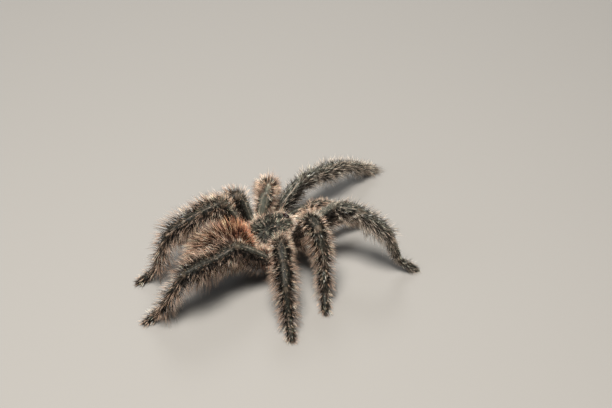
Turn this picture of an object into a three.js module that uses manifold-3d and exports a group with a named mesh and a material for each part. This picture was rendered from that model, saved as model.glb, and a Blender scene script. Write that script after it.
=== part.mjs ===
// A ground tarantula at life size, standing with its left front leg stretched ahead and its
// right rear leg carried along the abdomen.
// Millimetres, +Z up, head toward -Y, left legs toward +X, feet on z = 0.
// Every outline here is that of the hairy coat; the bare animal is a few millimetres slimmer.

import * as THREE from 'three';
import { mergeVertices } from 'three/addons/utils/BufferGeometryUtils.js';
import Module from 'manifold-3d';

const wasm = await Module();
wasm.setup();

// Driving dimensions.
const GAP = 0.3; // clearance between touching pieces
const LIMB_SIDES = 10; // facets round a limb
const LIMB_RINGS = 4; // bands along a limb segment
const PLAIN = { fringe: 0, rings: 1 }; // a straight stub with no hanging fringe
const JOINT_ROOM = 1.5; // how far the room left for a leg reaches past its joints
const KNEE_ROUNDING = 1.1; // how far a bent joint's outer corner stands out, in radii
const FRINGE = 0.16; // how much deeper a limb is below than above, for its hanging fringe

// Body heights and lengths; "ahead" runs to the head, "left" to the animal's left.
const HIP_HEIGHT = 15.5; // centre of every leg's trochanter
const CARAPACE_AHEAD = 1; // of its middle
const CARAPACE_LENGTH = 22.8;
const CARAPACE_WIDTH = 20.4;
const CARAPACE_MARGIN = 17.2; // height of the lower edge
const CARAPACE_RIM = 1.2; // thickness below the margin
const CARAPACE_DOME = 4.2; // rise of the thorax above the margin
const HEAD_RISE = 1.5; // further rise of the head behind the eyes
const FOVEA_AHEAD = -3; // pit in the thorax, from the carapace's middle
const FOVEA_DEPTH = 0.9;
const EYES_AHEAD = 8.6; // from the carapace's middle

const STERNUM = { ahead: -0.2, halfLength: 8.8, halfWidth: 6.4, halfDepth: 2.6, height: 11.6 };
const LABIUM = { ahead: 8.6, halfLength: 2.4, halfWidth: 2.0, halfDepth: 1.8, height: 11.2 };
const COXA_RADIUS = 3.2;
const COXA_HEIGHT = 12.4;
const PALP_COXA_RADIUS = 1.5;

const PEDICEL = { from: -9.6, to: -13.9, height: 14, radius: 1.6 };

const ABDOMEN_LENGTH = 29;
const ABDOMEN_WIDTH = 23.5;
const ABDOMEN_DEPTH = 21;
const ABDOMEN_FRONT = -13.9; // ahead-value of its foremost point
const ABDOMEN_HEIGHT = 18.4; // centre line
const ABDOMEN_TURN = 13.5; // degrees swung to the animal's left
const ABDOMEN_BLUNTNESS = 0.62; // 1 is a plain ellipsoid, less is squarer in front

const CHELICERA = {
  back: 12.9, height: 13.8, tip: 21.2, tipHeight: 9.0, girth: [3.1, 2.3, 0.3], narrow: 0.8,
};
const FANG = { root: 19.6, height: 6.2, length: 6.4, radius: 0.85, tip: 0.3 };
const SPINNERET = {
  length: 6.8, radius: 1.15, tip: 0.55, spread: 1.9, below: 4.4, buried: 2.4, splay: 12,
};

// Where each pair of legs leaves the body: inner end of the coxa and its trochanter.
const HIPS = {
  1: { inner: [6.0, 3.4], outer: [12.2, 9.9] },
  2: { inner: [2.2, 4.4], outer: [4.4, 12.2] },
  3: { inner: [-2.2, 4.4], outer: [-3.2, 11.7] },
  4: { inner: [-5.8, 3.6], outer: [-10.0, 9.4] },
};
// The right rear coxa is swung back, out and down: its hip's shift ahead, left and up.
const HIP_SHIFT = { right_4: [-1.9, -2.1, -2.6] };
const PALP_HIP = { inner: [7.2, 4.2], outer: [15.6, 7.8], height: 12.0 };

// Segment lengths of each pair: femur with trochanter, patella, tibia, metatarsus, tarsus.
const LEG_SEGMENTS = ['femur', 'patella', 'tibia', 'metatarsus', 'tarsus'];
const LEG_LENGTHS = {
  1: [21.5, 11.5, 17.5, 17.0, 11.0],
  2: [19.5, 10.0, 15.0, 16.5, 10.0],
  3: [17.0, 9.6, 13.3, 16.0, 9.0],
  4: [21.0, 10.5, 18.0, 21.0, 10.5],
};
const PALP_SEGMENTS = ['femur', 'patella', 'tibia', 'tarsus'];
const PALP_LENGTHS = [14.5, 8.0, 10.5, 8.5];

// Each segment's radius at its near end and far end, and its belly between them.
const LEG_GIRTH = {
  femur: [3.1, 4.7, 0.8],
  patella: [4.7, 4.6, 0.3],
  tibia: [4.6, 4.1, 0.6],
  metatarsus: [3.7, 2.9, 0.3],
  tarsus: [2.7, 1.6, 0.5],
};
const PALP_GIRTH = {
  femur: [1.7, 2.7, 0.3],
  patella: [2.9, 2.9, 0.2],
  tibia: [2.9, 2.8, 0.3],
  tarsus: [2.6, 1.5, 0.5],
};

// The pose, in degrees. "swing" is the femur's heading from straight ahead, positive to the
// left; "knee" and "ankle" turn the leg sideways at the patella and at the metatarsus.
// "pitch" lists how steeply femur, patella, tibia and tarsus rise; the metatarsus takes the
// slope that brings the foot to the floor.
const LEG_POSE = {
  left_1: { swing: 12, knee: -10, ankle: 0, pitch: [16, -7, -14, -40] },
  left_2: { swing: -35, knee: 90, ankle: -8, pitch: [78, -40, -47, -33] },
  left_3: { swing: 117, knee: 15, ankle: 1, pitch: [71, -26, -29, -42] },
  left_4: { swing: 147, knee: 14, ankle: 1, pitch: [64, -11, -23, -33] },
  right_1: { swing: -44, knee: -18, ankle: 20, pitch: [46, 5, -31, -38] },
  right_2: { swing: -75, knee: -32, ankle: -21, pitch: [66, 8, -65, -35] },
  right_3: { swing: -134, knee: 9, ankle: 4, pitch: [49, -20, -29, -31] },
  right_4: { swing: 162, knee: 11, ankle: -16, pitch: [41, -11, -2, -38] },
};
const PALP_POSE = {
  left: { swing: -1, knee: -9, pitch: [-4, -8, -36, -12] },
  right: { swing: -4, knee: -4, pitch: [-2, -10, -26, -26] },
};

// Materials by the look of each region.
const LOOKS = {
  coat: { color: 0x4b443b, roughness: 0.85, metalness: 0 },
  shield: { color: 0x30332c, roughness: 0.6, metalness: 0 },
  rump: { color: 0x7d4f3a, roughness: 0.9, metalness: 0 },
  jaws: { color: 0x6e5848, roughness: 0.85, metalness: 0 },
  fangs: { color: 0x140d0b, roughness: 0.2, metalness: 0 },
  eyes: { color: 0x0c0d0f, roughness: 0.12, metalness: 0 },
  underside: { color: 0x26221f, roughness: 0.85, metalness: 0 },
};

const UP = new THREE.Vector3(0, 0, 1);
const animal = new THREE.Group();

// A point given by its place ahead of, left of and above the carapace's centre on the floor.
function place(ahead, left, height) {
  return new THREE.Vector3(left, -ahead, height);
}

// Unit vector for a heading (degrees from straight ahead, positive left) and a pitch.
function direction(heading, pitch) {
  const azimuth = THREE.MathUtils.degToRad(heading);
  const rise = THREE.MathUtils.degToRad(pitch);
  return place(
    Math.cos(rise) * Math.cos(azimuth),
    Math.cos(rise) * Math.sin(azimuth),
    Math.sin(rise),
  );
}

function addPiece(name, geometry, look) {
  const mesh = new THREE.Mesh(geometry, new THREE.MeshStandardMaterial(LOOKS[look]));
  mesh.name = name;
  animal.add(mesh);
}

// Moves every vertex of a geometry by a rule and refreshes its normals.
function reshape(geometry, rule) {
  const position = geometry.attributes.position;
  const point = new THREE.Vector3();
  for (let i = 0; i < position.count; i += 1) {
    point.fromBufferAttribute(position, i);
    rule(point);
    position.setXYZ(i, point.x, point.y, point.z);
  }
  geometry.computeVertexNormals();
  return geometry;
}

function toSolid(geometry) {
  const bare = geometry.clone();
  bare.deleteAttribute('normal');
  bare.deleteAttribute('uv');
  const merged = mergeVertices(bare, 1e-4);
  return new wasm.Manifold(new wasm.Mesh({
    numProp: 3,
    vertProperties: merged.attributes.position.array,
    triVerts: new Uint32Array(merged.index.array),
  }));
}

function toGeometry(solid) {
  const mesh = solid.getMesh();
  const geometry = new THREE.BufferGeometry();
  geometry.setAttribute('position', new THREE.BufferAttribute(mesh.vertProperties, 3));
  geometry.setIndex(new THREE.BufferAttribute(mesh.triVerts, 1));
  return geometry;
}

// How far along a segment's own direction the cutting plane lies at one side of the tube.
function cutOffset(offset, heading, plane) {
  return -offset.dot(plane) / heading.dot(plane);
}

// A tapered limb segment between two joints. Each end is cut by the plane that halves the
// bend there, so that neighbours meet face to face.
function limbSegment({ from, to, fromPlane, toPlane, girth, options = {} }) {
  const { fringe = FRINGE, rings = LIMB_RINGS, endGap = GAP, narrow = 1 } = options;
  const axis = to.clone().sub(from).normalize();
  const above = UP.clone().addScaledVector(axis, -UP.dot(axis)).normalize();
  const beside = above.clone().cross(axis);
  const start = from.clone().addScaledVector(fromPlane, GAP / 2);
  const end = to.clone().addScaledVector(toPlane, -endGap / 2);
  const [near, far, belly] = girth;

  const ringPoint = (point, centre, plane, radius) => {
    const spread = Math.hypot(point.x, point.z);
    const depth = 1 - fringe * point.x;
    const offset = above.clone().multiplyScalar(point.x * radius * depth);
    offset.addScaledVector(beside, point.z * radius * narrow);
    const shift = cutOffset(offset, axis, plane);
    const flat = offset.addScaledVector(axis, shift);
    const outward = plane === toPlane ? shift > 0 : shift < 0;
    const reach = KNEE_ROUNDING * radius * depth * spread;
    if (outward && flat.length() > reach) {
      flat.setLength(reach);
    }
    return centre.clone().add(flat);
  };

  return reshape(new THREE.CylinderGeometry(1, 1, 1, LIMB_SIDES, rings), (point) => {
    const along = point.y + 0.5;
    const swell = belly * Math.sin(Math.PI * along);
    const nearPoint = ringPoint(point, start, fromPlane, near + (along > 0 ? swell : 0));
    const farPoint = ringPoint(point, end, toPlane, far + (along < 1 ? swell : 0));
    point.copy(nearPoint.lerp(farPoint, along));
  });
}

function bisector(first, second) {
  return first.clone().add(second).normalize();
}

// The joints of a limb, from the hip outward.
function chain(hip, headings, pitches, lengths) {
  const joints = [hip];
  const axes = lengths.map((length, i) => {
    const axis = direction(headings[i], pitches[i]);
    joints.push(joints[i].clone().addScaledVector(axis, length));
    return axis;
  });
  return { joints, axes };
}

function addLimb(prefix, names, { joints, axes }, coxaAxis, girths, tipPlane) {
  names.forEach((name, i) => {
    const segment = limbSegment({
      from: joints[i],
      to: joints[i + 1],
      fromPlane: bisector(i ? axes[i - 1] : coxaAxis, axes[i]),
      toPlane: axes[i + 1] ? bisector(axes[i], axes[i + 1]) : tipPlane,
      girth: girths[name],
      options: { endGap: axes[i + 1] ? GAP : 0 },
    });
    const clear = name === 'femur' ? besideCarapace(segment) : segment;
    addPiece(`${prefix}_${name}`, clear, 'coat');
  });
}

// Slope of the metatarsus that lets the tarsus end on the floor.
function metatarsusPitch(ankleHeight, tarsusPitch, lengths) {
  const tarsusDrop = -Math.sin(THREE.MathUtils.degToRad(tarsusPitch)) * lengths[4];
  return -THREE.MathUtils.radToDeg(Math.asin((ankleHeight - tarsusDrop) / lengths[3]));
}

function sideSign(side) {
  return side === 'left' ? 1 : -1;
}

function hipPoints(hip, side, outerHeight, shift = [0, 0, 0]) {
  const sign = sideSign(side);
  return {
    inner: place(hip.inner[0], sign * hip.inner[1], COXA_HEIGHT),
    outer: place(hip.outer[0], sign * hip.outer[1], outerHeight).add(place(...shift)),
  };
}

// Coxae: the stubs that carry the limbs. They are joined to the sternum further down.
const coxae = [];
const legs = {}; // joints and axes of every leg

function addCoxa(points, firstAxis, radius) {
  const axis = points.outer.clone().sub(points.inner).normalize();
  coxae.push(limbSegment({
    from: points.inner,
    to: points.outer,
    fromPlane: axis,
    toPlane: bisector(axis, firstAxis),
    girth: [radius, radius, 0],
    options: PLAIN,
  }));
  return axis;
}

function addLeg(key) {
  const [side, pair] = key.split('_');
  const pose = LEG_POSE[key];
  const lengths = LEG_LENGTHS[pair];
  const [femur, patella, tibia, tarsus] = pose.pitch;
  const points = hipPoints(HIPS[pair], side, HIP_HEIGHT, HIP_SHIFT[key]);
  const outer = pose.swing + pose.knee;
  const last = outer + pose.ankle;

  const upper = chain(
    points.outer,
    [pose.swing, outer, outer],
    [femur, patella, tibia],
    lengths.slice(0, 3),
  );
  const metatarsus = metatarsusPitch(upper.joints[3].z, tarsus, lengths);
  const leg = chain(
    points.outer,
    [pose.swing, outer, outer, last, last],
    [femur, patella, tibia, metatarsus, tarsus],
    lengths,
  );
  legs[key] = leg;
  const coxaAxis = addCoxa(points, leg.axes[0], COXA_RADIUS);
  addLimb(`leg_${key}`, LEG_SEGMENTS, leg, coxaAxis, LEG_GIRTH, UP.clone().negate());
}

function addPalp(side) {
  const pose = PALP_POSE[side];
  const points = hipPoints(PALP_HIP, side, PALP_HIP.height);
  const outer = pose.swing + pose.knee;
  const palp = chain(points.outer, [pose.swing, outer, outer, outer], pose.pitch, PALP_LENGTHS);
  const coxaAxis = addCoxa(points, palp.axes[0], PALP_COXA_RADIUS);
  addLimb(`palp_${side}`, PALP_SEGMENTS, palp, coxaAxis, PALP_GIRTH, palp.axes[3]);
}

// Half-width of the carapace: widest behind the middle, narrowing to the square head. All the
// carapace's own measures run from its middle.
function carapaceHalfWidth(ahead) {
  const along = THREE.MathUtils.clamp(ahead / (CARAPACE_LENGTH / 2), -1, 1);
  const round = Math.sqrt(Math.max(0, 1 - Math.abs(along) ** 2.8));
  const waist = along > 0 ? 1 - 0.2 * along * along : 1;
  return (CARAPACE_WIDTH / 2) * round * waist;
}

// Height of the carapace's upper surface above its margin, at a share of the half-width.
function carapaceRise(ahead, share) {
  const along = ahead / (CARAPACE_LENGTH / 2);
  const lengthwise = Math.sqrt(Math.max(0, 1 - Math.abs(along) ** 3));
  const crosswise = Math.sqrt(Math.max(0, 1 - share * share));
  const head = HEAD_RISE * THREE.MathUtils.smoothstep(ahead, -1, 7) * (1 - share * share);
  const distance = Math.hypot(ahead - FOVEA_AHEAD, share * carapaceHalfWidth(ahead));
  const fovea = FOVEA_DEPTH * Math.exp(-((distance / 1.8) ** 2));
  return (CARAPACE_DOME * crosswise + head) * lengthwise - fovea;
}

// The carapace, or with "lift" and "spread" the room it needs.
function carapaceGeometry(lift = 0, spread = 0) {
  // The sphere's poles lie at the front and the back, its equator along the margin.
  return reshape(new THREE.SphereGeometry(1, 24, 16), (point) => {
    const ahead = -point.y * (CARAPACE_LENGTH / 2);
    const ring = Math.sqrt(Math.max(0, 1 - point.y * point.y));
    const share = ring > 1e-6 ? point.x / ring : 0;
    const left = share * (carapaceHalfWidth(ahead) + spread);
    const rise = point.z > 0 ? carapaceRise(ahead, share) : CARAPACE_RIM * point.z;
    const height = CARAPACE_MARGIN + lift + (ring > 1e-6 ? rise : 0);
    point.copy(place(CARAPACE_AHEAD + ahead, left, height));
  });
}

function ellipsoid({ ahead, halfLength, halfWidth, halfDepth, height }, left = 0) {
  const geometry = new THREE.SphereGeometry(1, 16, 10);
  geometry.scale(halfWidth, halfLength, halfDepth);
  const centre = place(ahead, left, height);
  return geometry.translate(centre.x, centre.y, centre.z);
}

// The raised knob that carries all eight eyes, fitted on the carapace.
function eyeTubercle() {
  const surface = CARAPACE_MARGIN + carapaceRise(EYES_AHEAD, 0);
  const knob = ellipsoid({
    ahead: CARAPACE_AHEAD + EYES_AHEAD,
    halfLength: 1.5,
    halfWidth: 2.1,
    halfDepth: 1.5,
    height: surface + 0.4,
  });
  const seat = toSolid(carapaceGeometry(GAP));
  const solid = toSolid(knob).subtract(seat);
  return toGeometry(solid);
}

// Sternum, mouth plate and coxae are one piece under the carapace.
function sternumWithCoxae() {
  let solid = toSolid(ellipsoid(STERNUM)).add(toSolid(ellipsoid(LABIUM)));
  coxae.forEach((coxa) => {
    solid = solid.add(toSolid(coxa));
  });
  const roof = new THREE.BoxGeometry(60, 60, 20);
  roof.translate(0, 0, CARAPACE_MARGIN - CARAPACE_RIM - GAP + 10);
  return toGeometry(solid.subtract(toSolid(roof)));
}

// Trims a femur back from the carapace's edge.
function besideCarapace(femur) {
  const above = toSolid(carapaceGeometry(GAP, 2 * GAP));
  const below = toSolid(carapaceGeometry(-GAP, 2 * GAP));
  return toGeometry(toSolid(femur).subtract(above.add(below)));
}

// Room for a segment of a rear leg, which lies against the abdomen's flank.
function legClearance(key, i) {
  const { joints, axes } = legs[key];
  const [near, far, belly] = LEG_GIRTH[LEG_SEGMENTS[i]];
  return limbSegment({
    from: joints[i].clone().addScaledVector(axes[i], -JOINT_ROOM),
    to: joints[i + 1].clone().addScaledVector(axes[i], JOINT_ROOM),
    fromPlane: axes[i],
    toPlane: axes[i],
    girth: [near + GAP, far + GAP, belly + GAP],
    options: { endGap: 0 },
  });
}

// The abdomen is an egg with a blunt front, swung to the left behind the pedicel.
function abdomen() {
  const geometry = reshape(new THREE.SphereGeometry(1, 24, 18), (point) => {
    const along = -point.y;
    const ring = Math.sqrt(Math.max(0, 1 - along * along));
    const blunt = along > 0 ? ring ** ABDOMEN_BLUNTNESS : ring ** 0.85;
    const grow = ring > 1e-6 ? blunt / ring : 0;
    const flank = (point.x * grow * ABDOMEN_WIDTH) / 2;
    const depth = (point.z * grow * ABDOMEN_DEPTH) / 2;
    const back = ((along - 1) * ABDOMEN_LENGTH) / 2;
    point.set(flank, -back, depth);
  });
  geometry.rotateZ(THREE.MathUtils.degToRad(-ABDOMEN_TURN));
  const front = place(ABDOMEN_FRONT, 0, ABDOMEN_HEIGHT);
  geometry.translate(front.x, front.y, front.z);
  const rooms = [
    legClearance('left_4', 0),
    legClearance('right_4', 0),
    legClearance('right_4', 1),
    legClearance('right_4', 2),
    spinneret('left', GAP),
    spinneret('right', GAP),
  ];
  let solid = toSolid(geometry);
  rooms.forEach((room) => {
    solid = solid.subtract(toSolid(room));
  });
  return toGeometry(solid);
}

function pedicel() {
  const axis = place(-1, 0, 0);
  return limbSegment({
    from: place(PEDICEL.from, 0, PEDICEL.height),
    to: place(PEDICEL.to, 0, PEDICEL.height),
    fromPlane: axis,
    toPlane: axis,
    girth: [PEDICEL.radius, PEDICEL.radius, 0],
    options: PLAIN,
  });
}

// A jaw: deep behind, arched above, tapering forward and down to the root of its fang.
function chelicera(side) {
  const left = sideSign(side) * (CHELICERA.girth[0] * CHELICERA.narrow + GAP);
  return limbSegment({
    from: place(CHELICERA.back, left, CHELICERA.height),
    to: place(CHELICERA.tip, left, CHELICERA.tipHeight),
    fromPlane: place(1, 0, 0),
    toPlane: place(0.8, 0, -0.6),
    girth: CHELICERA.girth,
    options: { fringe: 0, narrow: CHELICERA.narrow },
  });
}

// A fang folds back under its jaw from the jaw's tip.
function fang(side) {
  const left = sideSign(side) * (CHELICERA.girth[0] * CHELICERA.narrow + GAP);
  const root = place(FANG.root, left, FANG.height);
  const tip = place(FANG.root - FANG.length, left * 0.7, FANG.height - 0.6);
  const axis = tip.clone().sub(root).normalize();
  return limbSegment({
    from: root,
    to: tip,
    fromPlane: axis,
    toPlane: axis,
    girth: [FANG.radius, FANG.tip, 0.15],
    options: { fringe: 0 },
  });
}

// A long rear spinneret, rooted in the abdomen's end; "room" widens it for its socket.
function spinneret(side, room = 0) {
  const turn = 180 - ABDOMEN_TURN;
  const front = place(ABDOMEN_FRONT, 0, ABDOMEN_HEIGHT - SPINNERET.below);
  const root = front.addScaledVector(direction(turn, 0), ABDOMEN_LENGTH - SPINNERET.buried);
  root.addScaledVector(direction(turn - 90, 0), sideSign(side) * SPINNERET.spread);
  const axis = direction(turn - sideSign(side) * SPINNERET.splay, SPINNERET.splay);
  return limbSegment({
    from: root.addScaledVector(axis, -room),
    to: root.clone().addScaledVector(axis, SPINNERET.length),
    fromPlane: axis,
    toPlane: axis,
    girth: [SPINNERET.radius + room, SPINNERET.tip + room, 0.1],
    options: { fringe: 0 },
  });
}

Object.keys(LEG_POSE).forEach(addLeg);
['left', 'right'].forEach((side) => {
  addPalp(side);
  addPiece(`chelicera_${side}`, chelicera(side), 'jaws');
  addPiece(`fang_${side}`, fang(side), 'fangs');
  addPiece(`spinneret_${side}`, spinneret(side), 'coat');
});
addPiece('carapace', carapaceGeometry(), 'shield');
addPiece('eye_tubercle', eyeTubercle(), 'eyes');
addPiece('sternum', sternumWithCoxae(), 'underside');
addPiece('pedicel', pedicel(), 'underside');
addPiece('abdomen', abdomen(), 'rump');

// The origin is the middle of the footprint, on the floor.
const box = new THREE.Box3().setFromObject(animal);
const middle = box.getCenter(new THREE.Vector3());
animal.position.set(-middle.x, -middle.y, 0);
animal.updateMatrixWorld(true);

export default animal;
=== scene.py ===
"""A ground tarantula as a still, life-size model: skin, coat, shield, eyes, fangs and claws.

Lengths are millimetres in the animal's own frame: left of, behind and above the middle of
its carapace on the floor. Each finished mesh is moved to its place, in metres, at the end.
"""

import math

import bmesh
import bpy
import numpy as np
from mathutils import Matrix, Vector

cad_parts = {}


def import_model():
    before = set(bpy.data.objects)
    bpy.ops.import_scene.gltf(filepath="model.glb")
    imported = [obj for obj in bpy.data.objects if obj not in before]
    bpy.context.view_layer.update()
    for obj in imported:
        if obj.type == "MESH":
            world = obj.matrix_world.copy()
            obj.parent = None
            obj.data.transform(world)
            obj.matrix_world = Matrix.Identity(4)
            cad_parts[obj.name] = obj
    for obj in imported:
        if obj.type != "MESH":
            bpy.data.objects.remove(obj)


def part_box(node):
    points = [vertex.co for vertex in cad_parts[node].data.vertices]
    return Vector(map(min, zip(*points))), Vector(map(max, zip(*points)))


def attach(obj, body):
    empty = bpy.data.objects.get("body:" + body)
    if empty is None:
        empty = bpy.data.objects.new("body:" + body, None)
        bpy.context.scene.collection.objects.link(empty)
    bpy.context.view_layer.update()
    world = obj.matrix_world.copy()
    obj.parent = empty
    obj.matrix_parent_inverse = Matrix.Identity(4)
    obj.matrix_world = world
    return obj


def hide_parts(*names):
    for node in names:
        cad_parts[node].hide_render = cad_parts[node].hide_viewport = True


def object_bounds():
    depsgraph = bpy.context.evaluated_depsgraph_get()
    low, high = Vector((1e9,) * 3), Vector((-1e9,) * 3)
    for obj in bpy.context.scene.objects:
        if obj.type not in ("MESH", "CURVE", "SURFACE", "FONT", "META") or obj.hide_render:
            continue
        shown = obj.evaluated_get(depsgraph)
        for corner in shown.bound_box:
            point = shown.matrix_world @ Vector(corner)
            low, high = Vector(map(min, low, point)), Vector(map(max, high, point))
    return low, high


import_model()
CAD_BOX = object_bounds()
SHIELD_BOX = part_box("carapace")

MM = 0.001
TINY = 1e-6
SEED = 11
UP = np.array([0.0, 0.0, 1.0])
SHIELD_AHEAD = 1.0
ORIGIN = (SHIELD_BOX[0] + SHIELD_BOX[1]) / 2
ORIGIN.y += SHIELD_AHEAD * MM
ORIGIN.z = CAD_BOX[0].z


def place(ahead, left, height):
    return np.array([left, -ahead, height], float)


def direction(heading, pitch):
    """Unit vector for a heading, in degrees from straight ahead to the left, and a pitch."""
    turn = math.radians(heading)
    rise = math.radians(pitch)
    return place(
        math.cos(rise) * math.cos(turn), math.cos(rise) * math.sin(turn), math.sin(rise)
    )


def unit(vectors):
    return vectors / np.linalg.norm(vectors, axis=-1, keepdims=True)


def smooth(low, high, value):
    """0 below low, 1 above high and a soft step between them."""
    share = np.clip((value - low) / (high - low), 0, 1)
    return share * share * (3 - 2 * share)


def world(point):
    return ORIGIN + Vector(point) * MM


def aim(thing, middle, azimuth, elevation, distance):
    """Stands a camera or a lamp this many metres from a place, looking at it."""
    turn = math.radians(azimuth)
    rise = math.radians(elevation)
    back = Vector((
        math.sin(turn) * math.cos(rise), -math.cos(turn) * math.cos(rise), math.sin(rise),
    ))
    thing.rotation_mode = "QUATERNION"
    thing.rotation_quaternion = (-back).to_track_quat("-Z", "Y")
    thing.location = middle + back * distance
    bpy.context.scene.collection.objects.link(thing)


# ---------------------------------------------------------------- camera

VIEW_AZIMUTH = 228
VIEW_ELEVATION = 39.5
VIEW_DISTANCE = 850
VIEW_MIDDLE = place(40.0, 19.4, 0)
LENS_LENGTH = 100
SENSOR_WIDTH = 36


def add_camera():
    camera = bpy.data.objects.new("camera", bpy.data.cameras.new("camera"))
    camera.data.lens = LENS_LENGTH
    camera.data.sensor_width = SENSOR_WIDTH
    aim(camera, world(VIEW_MIDDLE), VIEW_AZIMUTH, VIEW_ELEVATION, VIEW_DISTANCE * MM)
    bpy.context.scene.camera = camera


add_camera()

# ---------------------------------------------------------------- skeleton

HIP_HEIGHT = 15.5
COXA_HEIGHT = 12.4
HIPS = {
    "1": ((6.0, 3.4), (12.2, 9.9)),
    "2": ((2.2, 4.4), (4.4, 12.2)),
    "3": ((-2.2, 4.4), (-3.2, 11.7)),
    "4": ((-5.8, 3.6), (-10.0, 9.4)),
}
# The right rear hip is swung back, out and down by its coxa.
HIP_SHIFT = {"leg_right_4_coxa": place(-1.9, -2.1, -2.6)}
PALP_HIP = ((7.2, 4.2), (15.6, 7.8))
PALP_HIP_HEIGHT = 12.0

LEG_SEGMENTS = ("femur", "patella", "tibia", "metatarsus", "tarsus")
LEG_LENGTHS = {
    "1": (21.5, 11.5, 17.5, 17.0, 11.0),
    "2": (19.5, 10.0, 15.0, 16.5, 10.0),
    "3": (17.0, 9.6, 13.3, 16.0, 9.0),
    "4": (21.0, 10.5, 18.0, 21.0, 10.5),
}
PALP_SEGMENTS = ("femur", "patella", "tibia", "tarsus")
PALP_LENGTHS = (14.5, 8.0, 10.5, 8.5)

# Radius of the bare limb at each segment's near end and far end, and its belly between.
LEG_GIRTH = {
    "coxa": (2.5, 2.7, 0.1),
    "femur": (2.5, 2.9, 0.45),
    "patella": (2.75, 2.7, 0.25),
    "tibia": (2.65, 2.3, 0.35),
    "metatarsus": (1.95, 1.55, 0.1),
    "tarsus": (1.5, 1.25, 0.2),
}
PALP_GIRTH = {
    "coxa": (1.4, 1.4, 0.1),
    "femur": (1.4, 1.8, 0.2),
    "patella": (1.8, 1.85, 0.15),
    "tibia": (1.85, 1.75, 0.2),
    "tarsus": (1.6, 1.1, 0.3),
}

# The pose, in degrees: the femur's heading, the sideways turns at the knee and the ankle,
# and the rise of femur, patella, tibia and tarsus.
LEG_POSE = {
    "left_1": (12, -10, 0, (16, -7, -14, -40)),
    "left_2": (-35, 90, -8, (78, -40, -47, -33)),
    "left_3": (117, 15, 1, (71, -26, -29, -42)),
    "left_4": (147, 14, 1, (64, -11, -23, -33)),
    "right_1": (-44, -18, 20, (46, 5, -31, -38)),
    "right_2": (-75, -32, -21, (66, 8, -65, -35)),
    "right_3": (-134, 9, 4, (49, -20, -29, -31)),
    "right_4": (162, 11, -16, (41, -11, -2, -38)),
}
PALP_POSE = {
    "left": (-1, -9, (-4, -8, -36, -12)),
    "right": (-4, -4, (-2, -10, -26, -26)),
}
SIDE_SIGN = {"left": 1, "right": -1}

JAW_BACK = (12.9, 13.8)
JAW_TIP = (21.2, 9.0)
JAW_LEFT = 2.78
JAW_GIRTH = (2.6, 1.9, 0.3)

ABDOMEN_FRONT = -14.4
ABDOMEN_HEIGHT = 18.4
ABDOMEN_TURN = 180 - 13.5
ABDOMEN_HALF = (8.9, 12.6, 7.5)
SPINNERET_LENGTH = 6.4
SPINNERET_BELOW = 4.4
SPINNERET_BURIED = 1.4
SPINNERET_SPREAD = 1.9
SPINNERET_SPLAY = 12
SPINNERET_GIRTH = (0.85, 0.4, 0.08)

# How far each segment's rounded ends reach past its joints, in radii, and how full they are.
JOINT_OVERLAP = 0.42
JOINT_FULLNESS = 0.45


class Segment:
    """A length of limb between two joints, thinnest at its ends."""

    def __init__(self, name, kind, start, end, girth, narrow=0.95):
        self.name = name
        self.kind = kind
        self.start = start
        self.end = end
        self.length = np.linalg.norm(end - start)
        self.axis = (end - start) / self.length
        self.near, self.far, self.belly = girth
        self.narrow = narrow
        self.face(UP)

    def face(self, outside):
        """Turns the segment so that its top is on this side."""
        self.above = unit(outside - self.axis * (outside @ self.axis))
        self.beside = np.cross(self.above, self.axis)

    def radius(self, along):
        along = np.clip(along, 0, 1)
        swell = self.belly * np.sin(np.pi * along)
        return self.near + (self.far - self.near) * along + swell

    def coords(self, points):
        """Share of the length, and the turn round the axis in radians, 0 on top."""
        offset = points - self.start
        along = offset @ self.axis / self.length
        turn = np.arctan2(offset @ self.beside, offset @ self.above)
        return along, turn

    def distance(self, points):
        along = np.clip((points - self.start) @ self.axis / self.length, 0, 1)
        nearest = self.start + along[:, None] * self.axis * self.length
        return np.linalg.norm(points - nearest, axis=1) - self.radius(along)

    def shape(self, point):
        """Where a point of a unit ball goes, its poles at the two joints."""
        ring = math.hypot(point.x, point.y)
        share = (point.z + 1) / 2
        overlap = JOINT_OVERLAP * self.radius(share)
        reach = -overlap + share * (self.length + 2 * overlap)
        blunt = self.radius(share) * ring ** JOINT_FULLNESS / max(ring, TINY)
        offset = self.above * point.x + self.beside * point.y * self.narrow
        return self.start + self.axis * reach + offset * blunt


class Egg:
    """A rounded body part, given by its middle, its heading and its half-sizes."""

    def __init__(self, name, kind, middle, heading, half, blunt=1.0):
        self.name = name
        self.kind = kind
        self.middle = middle
        self.axis = direction(heading, 0)
        self.above = UP
        self.beside = np.cross(self.above, self.axis)
        self.half = half
        self.blunt = blunt

    def local(self, points):
        offset = points - self.middle
        return np.stack([
            offset @ self.beside / self.half[0],
            offset @ self.axis / self.half[1],
            offset @ self.above / self.half[2],
        ], axis=1)

    def coords(self, points):
        local = self.local(points)
        return (local[:, 1] + 1) / 2, np.arctan2(local[:, 0], local[:, 2])

    def distance(self, points):
        return (np.linalg.norm(self.local(points), axis=1) - 1) * min(self.half)

    def shape(self, point):
        ring = math.hypot(point.x, point.y)
        blunt = self.blunt if point.z < 0 else 0.5 + self.blunt / 2
        grow = ring ** blunt / max(ring, TINY)
        return (
            self.middle
            + self.beside * point.x * grow * self.half[0]
            + self.axis * point.z * self.half[1]
            + self.above * point.y * grow * self.half[2]
        )


def coxa(name, hip, height, side, girth):
    inner, outer = hip
    sign = SIDE_SIGN[side]
    start = place(inner[0], sign * inner[1], COXA_HEIGHT)
    end = place(outer[0], sign * outer[1], height) + HIP_SHIFT.get(name, 0)
    return Segment(name, "coxa", start, end, girth)


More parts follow.
